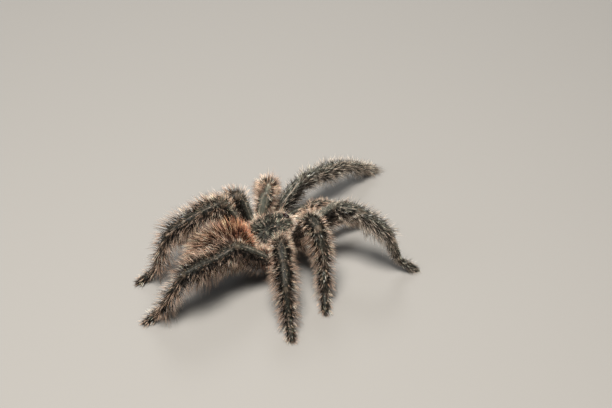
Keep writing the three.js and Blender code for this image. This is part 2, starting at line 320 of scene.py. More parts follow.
def limb(prefix, names, start, axes, lengths, girths):
    """The segments of one limb, end to end; the femur's top is the outside of the knee."""
    segments = []
    for name, axis, length in zip(names, axes, lengths):
        end = start + axis * length
        segments.append(Segment(f"{prefix}_{name}", name, start, end, girths[name]))
        start = end
    segments[0].face(UP - axes[1])
    return segments


def leg(key):
    """The coxa and segments of one leg; its metatarsus slopes so that the foot meets z = 0."""
    side, pair = key.split("_")
    swing, knee, ankle, pitches = LEG_POSE[key]
    lengths = LEG_LENGTHS[pair]
    hip = coxa(f"leg_{key}_coxa", HIPS[pair], HIP_HEIGHT, side, LEG_GIRTH["coxa"])
    headings = (swing, swing + knee, swing + knee)
    axes = [direction(heading, pitch) for heading, pitch in zip(headings, pitches)]
    ankle_height = hip.end[2] + sum(a[2] * length for a, length in zip(axes, lengths))
    last = swing + knee + ankle
    tarsus = direction(last, pitches[3])
    drop = ankle_height + tarsus[2] * lengths[4]
    axes.append(direction(last, -math.degrees(math.asin(drop / lengths[3]))))
    axes.append(tarsus)
    return [hip] + limb("leg_" + key, LEG_SEGMENTS, hip.end, axes, lengths, LEG_GIRTH)


def palp(side):
    swing, knee, pitches = PALP_POSE[side]
    hip = coxa(f"palp_{side}_coxa", PALP_HIP, PALP_HIP_HEIGHT, side, PALP_GIRTH["coxa"])
    headings = (swing, swing + knee, swing + knee, swing + knee)
    axes = [direction(heading, pitch) for heading, pitch in zip(headings, pitches)]
    name = "palp_" + side
    return [hip] + limb(name, PALP_SEGMENTS, hip.end, axes, PALP_LENGTHS, PALP_GIRTH)


def jaw(side):
    left = SIDE_SIGN[side] * JAW_LEFT
    start = place(JAW_BACK[0], left, JAW_BACK[1])
    end = place(JAW_TIP[0], left, JAW_TIP[1])
    return Segment("chelicera_" + side, "chelicera", start, end, JAW_GIRTH, narrow=0.86)


def spinneret(side):
    sign = SIDE_SIGN[side]
    front = place(ABDOMEN_FRONT, 0, ABDOMEN_HEIGHT - SPINNERET_BELOW)
    root = front + direction(ABDOMEN_TURN, 0) * (2 * ABDOMEN_HALF[1] - SPINNERET_BURIED)
    root = root + direction(ABDOMEN_TURN - 90, 0) * sign * SPINNERET_SPREAD
    heading = ABDOMEN_TURN - sign * SPINNERET_SPLAY
    tip = root + direction(heading, SPINNERET_SPLAY) * SPINNERET_LENGTH
    return Segment("spinneret_" + side, "spinneret", root, tip, SPINNERET_GIRTH)


LEGS = {key: leg(key) for key in LEG_POSE}
PALPS = {side: palp(side) for side in SIDE_SIGN}
JAWS = {side: jaw(side) for side in SIDE_SIGN}
SPINNERETS = {side: spinneret(side) for side in SIDE_SIGN}
ABDOMEN = Egg(
    "abdomen", "abdomen",
    place(ABDOMEN_FRONT, 0, ABDOMEN_HEIGHT) + direction(ABDOMEN_TURN, 0) * ABDOMEN_HALF[1],
    ABDOMEN_TURN, ABDOMEN_HALF, 0.7,
)
BREAST = Egg("sternum", "underside", place(-0.2, 0, 11.9), 180, (6.0, 8.3, 2.2))
LIP = Egg("labium", "underside", place(8.6, 0, 11.3), 180, (1.8, 2.2, 1.5))
FLANKS = Egg("flanks", "flank", place(0.8, 0, 15.0), 180, (8.5, 10.2, 2.9), 0.8)
WAIST = Segment(
    "pedicel", "flank", place(-8.6, 0, 13.8), place(-16.5, 0, 16.0), (1.6, 1.5, 0)
)
PARTS = (
    [segment for segments in LEGS.values() for segment in segments]
    + [segment for segments in PALPS.values() for segment in segments]
    + list(JAWS.values()) + list(SPINNERETS.values())
    + [ABDOMEN, BREAST, LIP, FLANKS, WAIST]
)

# ---------------------------------------------------------------- colours and materials


def linear(hex_colour):
    """An sRGB hex colour as linear red, green and blue."""
    channels = [int(hex_colour[i:i + 2], 16) / 255 for i in (1, 3, 5)]
    return np.array([
        c / 12.92 if c <= 0.04045 else ((c + 0.055) / 1.055) ** 2.4 for c in channels
    ])


def rgba(hex_colour):
    return (*linear(hex_colour), 1.0)


def add_node(material, kind, settings=(), links=()):
    """Adds a node, sets its properties or input values, and links its inputs."""
    tree = material.node_tree
    node = tree.nodes.new(kind)
    for name, value in dict(settings).items():
        if isinstance(name, str) and hasattr(node, name):
            setattr(node, name, value)
        else:
            node.inputs[name].default_value = value
    for name, source in dict(links).items():
        tree.links.new(source, node.inputs[name])
    return node


def new_material(name):
    material = bpy.data.materials.new(name)
    material.use_nodes = True
    material.node_tree.nodes.clear()
    return material


def set_surface(material, shader):
    add_node(material, "ShaderNodeOutputMaterial", links={"Surface": shader.outputs["BSDF"]})
    return material


# Widths in the cuticle: between the pits that hairs stand in, across its blotches, and
# across the streaks of polished horn. The pits are closer in life; they are drawn this wide
# apart so that they show.
PIT_SPACING = 0.35
PIT_DEPTH = 0.12
BLOTCH_WIDTH = 1.6
STREAK_WIDTH = 0.8
HORN_BROWN = "#2a120b"


def chitin_skin():
    """Live cuticle under the coat: dull, waxy dark leather pitted where each hair stands."""
    material = new_material("waxy_cuticle")
    colour = add_node(material, "ShaderNodeAttribute", {"attribute_name": "marking"})
    where = add_node(material, "ShaderNodeTexCoord")
    pits = add_node(
        material, "ShaderNodeTexVoronoi", {"Scale": 1 / (PIT_SPACING * MM)},
        {"Vector": where.outputs["Object"]},
    )
    mottle = add_node(
        material, "ShaderNodeTexNoise", {"Scale": 1 / (BLOTCH_WIDTH * MM), "Detail": 4.0},
        {"Vector": where.outputs["Object"]},
    )
    shade = add_node(
        material, "ShaderNodeMapRange", {"To Min": 0.7, "To Max": 1.25},
        {"Value": mottle.outputs["Fac"]},
    )
    base = add_node(
        material, "ShaderNodeVectorMath", {"operation": "SCALE"},
        {0: colour.outputs["Color"], "Scale": shade.outputs["Result"]},
    )
    rough = add_node(
        material, "ShaderNodeMapRange", {"To Min": 0.42, "To Max": 0.68},
        {"Value": mottle.outputs["Fac"]},
    )
    bump = add_node(
        material, "ShaderNodeBump", {"Strength": 0.5, "Distance": PIT_DEPTH * MM},
        {"Height": pits.outputs["Distance"]},
    )
    shader = add_node(
        material, "ShaderNodeBsdfPrincipled", {"IOR": 1.5, "Specular IOR Level": 0.25},
        {
            "Base Color": base.outputs["Vector"],
            "Roughness": rough.outputs["Result"],
            "Normal": bump.outputs["Normal"],
        },
    )
    return set_surface(material, shader)


def hair(name, roughness, sheen):
    """Stiff hollow bristles: dark at the root, bleached at the tip, with a silky glint."""
    material = new_material(name)
    colour = add_node(material, "ShaderNodeAttribute", {"attribute_name": "marking"})
    shader = add_node(
        material, "ShaderNodeBsdfPrincipled",
        {"Roughness": roughness, "IOR": 1.5, "Specular IOR Level": 0.14,
         "Sheen Weight": sheen, "Sheen Roughness": 0.3},
        {"Base Color": colour.outputs["Color"]},
    )
    return set_surface(material, shader)


def gloss(name, hex_colour, roughness, coat):
    """Hard polished cuticle: nearly black, with one crisp highlight."""
    material = new_material(name)
    where = add_node(material, "ShaderNodeTexCoord")
    streak = add_node(
        material, "ShaderNodeTexNoise", {"Scale": 1 / (STREAK_WIDTH * MM), "Detail": 3.0},
        {"Vector": where.outputs["Object"]},
    )
    tone = add_node(
        material, "ShaderNodeMix",
        {"data_type": "RGBA", 6: rgba(hex_colour), 7: rgba(HORN_BROWN)},
        {0: streak.outputs["Fac"]},
    )
    shader = add_node(
        material, "ShaderNodeBsdfPrincipled",
        {"Roughness": roughness, "IOR": 1.54, "Coat Weight": coat, "Coat Roughness": 0.05},
        {"Base Color": tone.outputs[2]},
    )
    return set_surface(material, shader)


SKIN = chitin_skin()
BRISTLES = hair("silky_bristles", 0.5, 0.02)
FANG_GLOSS = gloss("polished_fang", "#0a0706", 0.18, 0.6)
EYE_GLOSS = gloss("wet_eye_lens", "#050608", 0.06, 1.0)

# ---------------------------------------------------------------- making meshes


def finish_piece(mesh, name, material, nodes=()):
    """Moves a mesh from millimetres to its place in metres and hands it to the frame."""
    mesh.name = name
    mesh.transform(Matrix.Translation(ORIGIN) @ Matrix.Scale(MM, 4))
    mesh.materials.clear()
    mesh.materials.append(material)
    mesh.polygons.foreach_set("use_smooth", np.ones(len(mesh.polygons), bool))
    mesh.update()
    piece = bpy.data.objects.new(name, mesh)
    bpy.context.scene.collection.objects.link(piece)
    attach(piece, "root")
    if nodes:
        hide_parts(*nodes)
    return piece


def add_ball(bm, rule, around=20, along=14):
    """A ball whose every vertex is moved by a rule."""
    made = bmesh.ops.create_uvsphere(bm, u_segments=around, v_segments=along, radius=1)
    for vert in made["verts"]:
        vert.co = rule(vert.co)


def to_mesh(bm, name):
    bmesh.ops.recalc_face_normals(bm, faces=bm.faces)
    mesh = bpy.data.meshes.new(name)
    bm.to_mesh(mesh)
    bm.free()
    return mesh


def with_modifiers(mesh, modifiers):
    """The mesh after these modifiers, each a kind and its settings."""
    carrier = bpy.data.objects.new("carrier", mesh)
    bpy.context.scene.collection.objects.link(carrier)
    for kind, settings in modifiers:
        modifier = carrier.modifiers.new(kind, kind)
        for name, value in settings.items():
            setattr(modifier, name, value)
    depsgraph = bpy.context.evaluated_depsgraph_get()
    done = bpy.data.meshes.new_from_object(carrier.evaluated_get(depsgraph))
    bpy.data.objects.remove(carrier)
    return done


def read(collection, key, width):
    values = np.empty(len(collection) * width, np.float32)
    collection.foreach_get(key, values)
    return values.reshape(-1, width).astype(float)


LIGHTEST = 0.95


def paint(mesh, colours):
    """Stores a linear colour at each vertex for the materials to read."""
    attribute = mesh.color_attributes.new("marking", "FLOAT_COLOR", "POINT")
    full = np.ones((len(colours), 4), np.float32)
    full[:, :3] = np.minimum(colours, LIGHTEST)
    attribute.data.foreach_set("color", full.ravel())


# ---------------------------------------------------------------- skin

# The grain that the overlapping forms are fused at, and the height of the bare soles.
SKIN_VOXEL = 0.45
SOLE_HEIGHT = 0.25


def build_skin():
    """One closed skin over limbs and body: overlapping rounded forms fused and softened."""
    bm = bmesh.new()
    for part in PARTS:
        around, along = (40, 30) if isinstance(part, Egg) else (20, 16)
        add_ball(bm, part.shape, around, along)
    mesh = with_modifiers(to_mesh(bm, "skin"), [
        ("REMESH", {"mode": "VOXEL", "voxel_size": SKIN_VOXEL}),
        ("SMOOTH", {"factor": 0.5, "iterations": 3}),
    ])
    points = read(mesh.vertices, "co", 3)
    points[:, 2] = np.maximum(points[:, 2], SOLE_HEIGHT)
    mesh.vertices.foreach_set("co", points.astype(np.float32).ravel())
    mesh.update()
    return mesh


def belonging(points):
    """Index into PARTS of the part that each point lies on."""
    return np.argmin([part.distance(points) for part in PARTS], axis=0)


skin_mesh = build_skin()
skin_points = read(skin_mesh.vertices, "co", 3)
skin_part = belonging(skin_points)

# ---------------------------------------------------------------- markings

CHARCOAL = linear("#14120e")
SLATE = linear("#44463b")
# Painted sheen: the pale greenish grey that light from above gives the tops of femora.
PAINTED_SHEEN_GREY = linear("#5f6259")
ASH = linear("#8c8c7c")
FROST = linear("#b9bbae")
SOOT = linear("#0b0a08")
SAND = linear("#c7a083")
STRAW = linear("#ead0bb")
ROSE = linear("#e0bfa8")
SHADOWED_UMBER = linear("#8a725c")
RUST = linear("#5e2c18")
# Partly painted shadow: the brown of the hair tips under the femora.
SALMON = linear("#f2986f")
EARTH = linear("#1c120c")

# The bald lines of a femur, a patella and a tibia: their turn from the top, and strength.
STRIPES = {"femur": (0.36, 0.65), "patella": (0.42, 0.3), "tibia": (0.26, 0.1)}
STRIPE_WIDTH = 0.075
# How far painted sheen lightens the tops of femora to greenish grey: one is turned to the light,
# bald and pale.
FEMUR_PAINTED_SHEEN = {"leg_left_2_femur": 1.6, "leg_right_1_femur": 0.8, "leg_left_1_femur": 0.15}
FEMUR_PAINTED_SHEEN_USUAL = 0.4


def mix(first, second, share):
    return first + (second - first) * share[:, None]


def stripes(kind, turn, along):
    """How far each place lies in one of the two bald lines along the top of a segment."""
    if kind not in STRIPES:
        return np.zeros(len(turn))
    middle, strength = STRIPES[kind]
    line = middle * (0.7 + 0.5 * np.sin(np.pi * along)) + 0.03 * np.sin(along * 23)
    off_line = np.abs(np.abs(turn) - line) / STRIPE_WIDTH
    ends = smooth(0.05, 0.16, along) * (1 - smooth(0.84, 0.95, along))
    return strength * np.exp(-off_line ** 2) * ends


def ground_colour(part, along, turn):
    """Colour of the skin, and of the hair's roots, at places on one part, with painted sheen
    lightening the tops of leg segments.
    """
    colour = np.tile(CHARCOAL, (len(along), 1))
    top = np.cos(turn)
    # Painted sheen: the tops of femora are lighter, towards greenish grey.
    if part.kind == "femur":
        colour = mix(colour, PAINTED_SHEEN_GREY, smooth(0.4, 0.85, top) * FEMUR_PAINTED_SHEEN.get(part.name, FEMUR_PAINTED_SHEEN_USUAL))
    elif part.kind in LEG_SEGMENTS:
        # Painted sheen: the tops of the other leg segments are a little lighter, towards slate.
        colour = mix(colour, SLATE, smooth(0.3, 0.9, top) * 0.15)
    colour = mix(colour, (ASH + STRAW) / 2, stripes(part.kind, turn, along))
    if part.kind in LEG_SEGMENTS:
        colour = mix(colour, (ASH + SAND) / 2, smooth(0.95, 0.985, along) * 0.2)
    if part.kind == "abdomen":
        rump = smooth(0.1, 0.8, top) * (1 - smooth(0.35, 0.85, along))
        colour = mix(colour, EARTH, smooth(-0.2, 0.7, top) * 0.8)
        colour = mix(colour, RUST, rump * 0.35)
    return colour


def paint_skin():
    colours = np.tile(CHARCOAL, (len(skin_points), 1))
    for index, part in enumerate(PARTS):
        here = skin_part == index
        if here.any():
            along, turn = part.coords(skin_points[here])
            colours[here] = ground_colour(part, along, turn)
    paint(skin_mesh, colours)


paint_skin()

# ---------------------------------------------------------------- coat

# Width of a hair's patch on the bake map, how deep hairs are rooted, and the lowest that
# any of them may hang over the floor.
BAKE_PATCH = 0.003
ROOT_DEPTH = 0.25
FLOOR_GAP = 0.04


class Field:
    """A surface that hair grows from: its points, its normals and its triangles."""

    def __init__(self, mesh):
        mesh.calc_loop_triangles()
        corners = np.empty(len(mesh.loop_triangles) * 3, np.int32)
        mesh.loop_triangles.foreach_get("vertices", corners)
        self.points = read(mesh.vertices, "co", 3)
        self.normals = read(mesh.vertex_normals, "vector", 3)
        self.faces = corners.reshape(-1, 3)

    def areas(self, faces):
        a, b, c = (self.points[faces[:, i]] for i in range(3))
        return np.linalg.norm(np.cross(b - a, c - a), axis=1) / 2

    def scatter(self, rng, faces, weight, density):
        """Roots and their normals, drawn over these faces by area times a weight."""
        share = self.areas(faces) * weight[faces].mean(axis=1)
        count = int(share.sum() * density)
        chosen = rng.choice(len(faces), count, p=share / share.sum())
        u, v = rng.random((2, count))
        fold = u + v > 1
        u[fold], v[fold] = 1 - u[fold], 1 - v[fold]
        mixing = np.stack([1 - u - v, u, v], axis=1)[:, :, None]
        return (
            (self.points[faces[chosen]] * mixing).sum(axis=1),
            unit((self.normals[faces[chosen]] * mixing).sum(axis=1)),
        )


def hair_faces(rings):
    """Triangles of one three-sided hair, and each corner's place across its bake patch."""
    tip = 3 * rings
    faces = [(2, 1, 0)]
    for ring in range(rings - 1):
        for corner in range(3):
            a, b = 3 * ring + corner, 3 * ring + (corner + 1) % 3
            faces += [(a, b, b + 3), (a, b + 3, a + 3)]
    faces += [(tip - 3 + corner, tip - 3 + (corner + 1) % 3, tip) for corner in range(3)]
    faces = np.array(faces)
    along = np.append(np.repeat(np.arange(rings) / rings, 3), 1.0)
    across = np.array([0.0, 0.5, 1.0] * rings + [0.5])
    patch = np.stack([along[faces], across[faces]], axis=2)
    # The buried base takes a small corner of the patch.
    patch[0] = ((0, 0), (0.2, 0), (0.1, 0.3))
    return faces, patch.reshape(-1, 2)


def hair_batch(roots, normals, lie, bend, length, girth, tone, where, rings):
    """Arrays for tapered three-sided hairs of one kind.

    A hair leaves along its lie and is pulled by its bend; tone gives its colour at a share
    of its length. On the bake map each hair is a small patch at its root's place, and
    neighbours that share a patch lie exactly alike in it.
    """
    side = unit(np.cross(lie, normals + 0.01))
    other = np.cross(lie, side)
    points, colours = [], []
    for share in np.arange(rings) / rings:
        centre = roots + length[:, None] * (lie * share + bend * share * share / 2)
        if share == 0:
            centre = centre - normals * ROOT_DEPTH
        thick = (girth * (1 - share) ** 0.7)[:, None]
        for corner in range(3):
            turn = corner * 2 * math.pi / 3
            points.append(centre + thick * (side * math.cos(turn) - other * math.sin(turn)))
            colours.append(tone(share))
    points.append(roots + length[:, None] * (lie + bend / 2))
    colours.append(tone(1.0))
    faces, patch = hair_faces(rings)
    starts = np.arange(len(roots))[:, None, None] * (3 * rings + 1)
    cell = np.floor(where / BAKE_PATCH) * BAKE_PATCH
    maps = cell[:, None, :] + (0.05 + 0.9 * patch) * BAKE_PATCH
    points = np.stack(points, axis=1).reshape(-1, 3)
    points[:, 2] = np.maximum(points[:, 2], FLOOR_GAP)
    colours = np.stack(colours, axis=1).reshape(-1, 3)
    return points, (starts + faces).reshape(-1, 3), colours, maps.reshape(-1, 2)


def join_hair(name, batches):
    """One mesh of all these batches, with its colours and its bake map."""
    points = np.concatenate([batch[0] for batch in batches])
    starts = np.cumsum([0] + [len(batch[0]) for batch in batches])
    faces = np.concatenate([batch[1] + start for batch, start in zip(batches, starts)])
    mesh = bpy.data.meshes.new(name)
    mesh.vertices.add(len(points))
    mesh.vertices.foreach_set("co", points.astype(np.float32).ravel())
    mesh.loops.add(faces.size)
    mesh.loops.foreach_set("vertex_index", faces.astype(np.int32).ravel())
    mesh.polygons.add(len(faces))
    mesh.polygons.foreach_set("loop_start", np.arange(0, faces.size, 3, dtype=np.int32))
    mesh.update(calc_edges=True)
    maps = np.concatenate([batch[3] for batch in batches]).astype(np.float32)
    mesh.uv_layers.new(name="OFBake").data.foreach_set("uv", maps.ravel())
    paint(mesh, np.concatenate([batch[2] for batch in batches]))
    return mesh


def locks(rng, roots, lie, bend, length, size, pull, uneven):
    """Draws neighbouring hairs together at their tips.

    Gives the new bend, and a brightness and a number from 0 to 1 that each lock shares.
    """
    cells = np.floor(roots / size + rng.normal(0, 0.15, roots.shape)).astype(np.int64)
    _, lock = np.unique(cells, axis=0, return_inverse=True)
    lock = lock.ravel()
    tips = roots + length[:, None] * (lie + bend / 2)
    members = np.bincount(lock)
    middle = np.stack([np.bincount(lock, tips[:, i]) / members for i in range(3)], axis=1)
    bend = bend + 2 * pull * (middle[lock] - tips) / length[:, None]
    bright = rng.normal(1, uneven, len(members)).clip(0.35, 1.8)[lock]
    return bend, bright, rng.random(len(members))[lock]


def shaded(root, tip, start, end, bright):
    """A hair's colour along its length: its root's, then its tip's from start to end."""
    def at(share):
        turned = smooth(start, end, share) * np.ones(len(root))
        return mix(root, tip, turned) * bright[:, None]
    return at


# Bristles change round a limb. Their lengths, the share of them with bleached tips and how
# thickly they stand are given on top, on the shoulder, at the side, low down and below.
AROUND = np.radians([0, 50, 90, 130, 180])
FEMUR = ((2.4, 3.4, 3.6, 4.4, 8.4), (0.4, 0.4, 0.05, 0.15, 0.9), (0.05, 0.35, 0.9, 1.0, 1.2))
PATELLA = ((2.6, 4.4, 3.8, 4.6, 6.0), (0.4, 0.8, 0.6, 0.8, 1.0), (0.2, 0.8, 1.0, 1.0, 1.0))
TIBIA = ((3.4, 5.0, 5.4, 6.2, 7.4), (0.5, 0.9, 0.9, 1.0, 1.0), (0.35, 0.8, 1.0, 1.0, 1.0))
METATARSUS = ((3.0, 4.2, 4.8, 5.2, 5.0), (0.55, 0.9, 1.0, 1.0, 1.0), (0.5, 0.9, 1.0, 1.0, 1.0))
EVEN = (1.0,) * 5
# For each kind of part: how many bristles to a square millimetre, their profile round the
# limb, how steeply they stand in degrees and how far they droop.
BRISTLE = {
    "coxa": (3.4, ((5.4, 5.2, 4.4, 3.4, 3.2), (1.1,) * 5, EVEN), 66, 0.0),
    "femur": (3.4, FEMUR, 78, 0.15),
    "patella": (3.4, PATELLA, 76, 0.1),
    "tibia": (3.6, TIBIA, 74, 0.1),
    "metatarsus": (3.6, METATARSUS, 66, 0.1),
    "tarsus": (3.4, ((2.4, 3.2, 3.2, 2.2, 1.2), (0.6, 0.9, 0.9, 0.6, 0.2), EVEN), 54, 0.0),
    "chelicera": (3.0, ((2.6, 2.8, 3.0, 3.4, 3.6), (0.95,) * 5, EVEN), 44, 0.2),
    "spinneret": (4.0, ((1.5,) * 5, (0.4,) * 5, EVEN), 38, 0.0),
    "underside": (1.2, ((2.0,) * 5, (0.3,) * 5, EVEN), 42, 0.1),
    "flank": (1.6, ((2.0,) * 5, (0.9, 0.9, 0.9, 0.7, 0.6), EVEN), 45, 0.1),
    "abdomen": (3.2, ((8.2, 8.2, 7.4, 4.0, 2.6), (0.95, 0.9, 0.8, 0.4, 0.1), EVEN), 78, 0.05),
}
# Parts whose coat is shorter or longer than their kind's: the palps, one thin shin, and a
# brush at the end of the outstretched leg.
COAT_LENGTHS = {part: 0.6 for side in SIDE_SIGN for part in PALPS[side]}
COAT_LENGTHS[LEGS["right_1"][4]] = 0.6
COAT_LENGTHS[LEGS["left_1"][4]] = 1.2
COAT_LENGTHS[LEGS["left_1"][5]] = 1.8
# Parts that are pale-haired nearly all round.
PALE_PARTS = PALPS["left"] + PALPS["right"] + [LEGS["left_1"][5], LEGS["left_2"][1]]
PALE_ROUND = (0.6, 0.9, 0.95, 1.0, 1.0)
# The front legs and the palps have shorter hair along their tops than the other legs.
FRONT_TOP_SHARE = 0.6
# By how many degrees their hair lies flatter on top and on the right.
FRONT_LIE = 34
# Their close hair is longer than the other legs'.
FRONT_CLOSE_SHARE = 1.6
# The third and fourth legs are shaggier at the sides beyond the femur.
REAR_SIDE_SHARE = {"3": 1.15, "4": 1.6}
FRONT_LEGS = [part for key in LEGS if key[-1] == "1" for part in LEGS[key]]
FRONT_PARTS = FRONT_LEGS + PALPS["left"] + PALPS["right"]
REAR_PARTS = {part: key[-1] for key in LEGS if key[-1] in "34" for part in LEGS[key][2:5]}
# Length of the hairs that stand up over a knee, and the limbs that have none.
KNEE_CREST = 5.2
SMOOTH_KNEES = ("leg_left_1", "leg_right_1", "leg_right_4", "palp")
# Share of the locks that may be pale where the coat is palest, and how bright their tips are.
PALE_LOCKS = 0.8
TIP_LIGHT = 1.25

# How thick hairs are at the root, from the thinnest to the thickest.
BRISTLE_THICK = (0.07, 0.115)
CLOSE_THICK = (0.08, 0.12)
VELVET_THICK = (0.07, 0.11)
# How much the angle that hairs stand at varies, in degrees.
STEEP_SPREAD = 9
CLOSE_SPREAD = 7
CLOSE_STEEP = 20

# Close hair, for each kind of part: how many to a square millimetre, and its length.
CLOSE_HAIR = {
    "coxa": (2.6, 1.3), "femur": (3.6, 1.5), "patella": (3.6, 1.5), "tibia": (3.4, 1.5),
    "metatarsus": (4.4, 1.3), "tarsus": (6.5, 1.0), "chelicera": (4.0, 1.3),
    "spinneret": (4.0, 0.8), "underside": (3.0, 1.1), "flank": (1.5, 1.0),
    "abdomen": (1.6, 2.8),
}

skin_field = Field(skin_mesh)


def bleached(rng, part, along, turn):
    """Colour of the bristles' tips at places on one part."""
    count = len(along)
    colour = mix(np.tile(SAND, (count, 1)), STRAW, rng.random(count))
    if part.kind == "abdomen":
        warm = smooth(-0.1, 0.6, np.cos(turn)) * (1 - smooth(0.15, 0.6, along) * 0.7)
        colour = mix(colour, SALMON, warm * rng.uniform(0.7, 1.0, count))
    if part.kind in ("chelicera", "coxa", "flank") or part.name.startswith("palp"):
        colour = mix(colour, ROSE, np.full(count, 0.4))
    if part in FRONT_LEGS and part.kind != "coxa":
        colour = mix(colour, FROST, np.full(count, 0.45))
    if part.name.endswith("4_coxa"):
        colour = mix(colour, SALMON, np.full(count, 0.5))
    # Partly painted shade: the tips under a femur turn browner, partly their own colour and partly
    # the shadow under the leg.
    if part.kind == "femur":
        colour = mix(colour, SHADOWED_UMBER, 0.25 * smooth(-0.2, 0.6, -np.cos(turn)))
    return colour


def at_knee(kind, along):
    """How near each place on a femur or a patella is to the bend between them."""
    if kind == "femur":
        return smooth(0.76, 0.92, along)
    if kind == "patella":
        return 1 - smooth(0.2, 0.55, along)
    return np.zeros(len(along))


def profile(turn, values):
    """A value that changes round a limb, given at each of the angles in AROUND."""
    return np.interp(np.abs(turn), AROUND, values)


def varied(rng, count):
    """Shares round 1 that make hairs of one kind differ in length."""
    return rng.normal(1, 0.2, count).clip(0.5, 1.5)


def bake_place(along, turn, row):
    """Places on the bake map, in one part's row: across by its length, up by the turn."""
    low, high = row
    return np.stack([
        0.004 + 0.992 * along,
        low + (high - low) * (0.02 + 0.96 * (turn / (2 * math.pi) + 0.5)),
    ], axis=1)


def standing(rng, grain, normals, steep, ruffle):
    """Unit directions that rise steep degrees from the grain, each a little astray."""
    steep = np.radians(steep)[:, None]
    astray = rng.normal(0, ruffle, normals.shape)
    flat = unit(grain - normals * (grain * normals).sum(axis=1, keepdims=True))
    return unit(flat * np.cos(steep) + normals * np.sin(steep) + astray)


def bristles(rng, part, faces, row):
    """The long coat of one part: dark bristles whose tips are bleached in locks."""
    density, (lengths, pale, crowd), steep, droop = BRISTLE[part.kind]
    if part in PALE_PARTS:
        pale = PALE_ROUND
    along, turn = part.coords(skin_points)
    weight = profile(turn, crowd)
    weight = weight + (1 - weight).clip(0, 1) * at_knee(part.kind, along)
    roots, normals = skin_field.scatter(rng, faces, weight, density)
    along, turn = part.coords(roots)
    along = np.clip(along, 0, 1)
    count = len(roots)
    grain = np.tile(part.axis, (count, 1))
    length = profile(turn, lengths) * varied(rng, count)
    steep = steep + rng.normal(0, STEEP_SPREAD, count)
    if part.kind == "abdomen":
        length = length * (0.55 + 0.45 * smooth(0.0, 0.12, along))
        steep = steep - 28 * smooth(0.3, 0.85, along)
    above = smooth(-0.2, 0.8, np.cos(turn))
    length = length * COAT_LENGTHS.get(part, 1)
    if part in FRONT_PARTS:
        crown = smooth(0.7, 1.0, np.cos(turn))
        length = length * (1 - (1 - FRONT_TOP_SHARE) * crown)
        if part.kind != "tarsus":
            steep = steep - FRONT_LIE * np.maximum(crown, smooth(0.1, 0.6, -np.sin(turn)))
    elif part in REAR_PARTS:
        length = length * (1 + (REAR_SIDE_SHARE[REAR_PARTS[part]] - 1) * np.abs(np.sin(turn)))
    crest = not part.name.startswith(SMOOTH_KNEES)
    knee = crest * at_knee(part.kind, along) * above
    length = length + (KNEE_CREST * rng.uniform(0.7, 1.2, count) - length) * knee
    lie = standing(rng, grain, normals, steep, ruffle=0.1)
    root = ground_colour(part, along, turn) * 0.25
    tip = bleached(rng, part, along, turn)
    bend, bright, draw = locks(
        rng, roots, lie, grain * 0.25 - UP * droop, length, size=0.8, pull=0.4, uneven=0.45
    )
    dark = draw * 0.8 + rng.random(count) * 0.2 > profile(turn, pale) * PALE_LOCKS + knee
    # Longer hairs stay dark further up; on the face, hips and rump they pale sooner.
    start = 0.38 + 0.03 * (length - 3).clip(0, 6)
    if part.kind == "abdomen":
        start = start * 0.8
    if part.kind in ("chelicera", "coxa", "flank") or part in PALE_PARTS:
        start = start * 0.4
    tip = mix(tip * TIP_LIGHT, root, np.where(dark, 0.85, 0.0))
    return hair_batch(
        roots, normals, lie, bend, length,
        rng.uniform(*BRISTLE_THICK, count), shaded(root, tip, start, start + 0.3, bright),
        bake_place(along, turn, row), 4 if part.kind == "abdomen" else 3,
    )


def close_hair(rng, part, faces, row):
    """The short flat coat of one part, parted along the bald lines, its tips pale on top as painted
    sky sheen.
    """
    density, length = CLOSE_HAIR[part.kind]
    along, turn = part.coords(skin_points)
    weight = 1 - stripes(part.kind, turn, along)
    roots, normals = skin_field.scatter(rng, faces, weight, density)
    along, turn = part.coords(roots)
    along = np.clip(along, 0, 1)
    count = len(roots)
    grain = np.tile(part.axis, (count, 1))
    length = length * varied(rng, count)
    length = length * COAT_LENGTHS.get(part, 1)
    front = part in FRONT_PARTS
    if front:
        length = length * FRONT_CLOSE_SHARE
    steep = CLOSE_STEEP + rng.normal(0, CLOSE_SPREAD, count)
    lie = standing(rng, grain, normals, steep, ruffle=0.15)
    root = ground_colour(part, along, turn)
    # Painted sky sheen: close hair tips are pale only on the tops of leg segments, half as much on
    # the hind legs.
    sky = smooth(0.2, 0.9, np.cos(turn)) if part.kind in LEG_SEGMENTS else 0.5
    if part in REAR_PARTS:
        sky = sky * 0.5
    bend, bright, draw = locks(
        rng, roots, lie, grain * 0.2, length, size=0.7, pull=0.35, uneven=0.35
    )
    share = (draw ** 2 * 0.8 + rng.uniform(0.0, 0.3, count)) * sky
    tip = mix(root, np.tile(ASH, (count, 1)), share)
    if front:
        tip = mix(tip, FROST, (draw > 0.6) * 0.6 * sky)
    return hair_batch(
        roots, normals, lie, bend, length, rng.uniform(*CLOSE_THICK, count),
        shaded(root, tip, 0.1, 0.8, bright), bake_place(along, turn, row), 2,
    )


def coat_piece(name, parts):
    """All the hair of some parts as one piece; each part has its own row of the bake map."""
    rng = np.random.default_rng([SEED, *name.encode()])
    batches = []
    for number, part in enumerate(parts):
        faces = skin_field.faces[skin_part[skin_field.faces[:, 0]] == PARTS.index(part)]
        row = (number / len(parts), (number + 1) / len(parts))
        batches += [bristles(rng, part, faces, row), close_hair(rng, part, faces, row)]
    finish_piece(join_hair(name, batches), name, BRISTLES)


def build_coat():
    for key, parts in LEGS.items():
        coat_piece("coat_leg_" + key, parts)
    for side in SIDE_SIGN:
        coat_piece("coat_face_" + side, PALPS[side] + [JAWS[side]])
    coat_piece("coat_abdomen", [ABDOMEN] + list(SPINNERETS.values()))
    coat_piece("coat_underside", [BREAST, LIP, FLANKS, WAIST])


build_coat()

